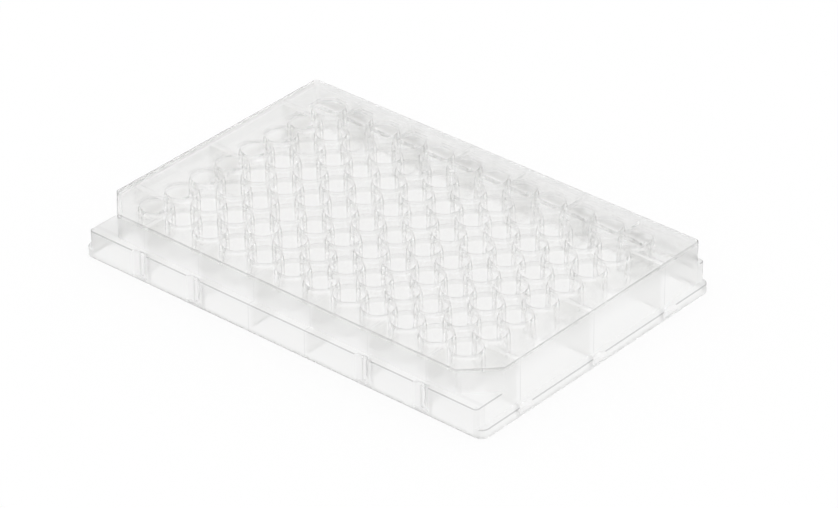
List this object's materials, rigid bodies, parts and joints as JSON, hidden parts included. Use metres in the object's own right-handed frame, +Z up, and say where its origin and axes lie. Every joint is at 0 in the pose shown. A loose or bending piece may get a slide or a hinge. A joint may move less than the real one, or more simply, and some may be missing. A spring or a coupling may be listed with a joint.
{
  "type": "well plate",
  "caption": "Translucent frosted plastic well plate: a flat deck of small round-bottomed wells in a grid, two cut corners, stepped skirt with grooves, open underside.",
  "frame": {"origin": "middle of the footprint, at the height of the bench", "axes": "+X along the long side towards the last column, +Y towards the row farthest from the cut corners, +Z up"},
  "size_m": [0.1278, 0.0854, 0.0143],
  "materials": {
    "polypropylene": "translucent natural polypropylene, satin outside and smooth in the wells"
  },
  "bodies": {
    "root": {"well_plate": "polypropylene"}
  },
  "joints": []
}
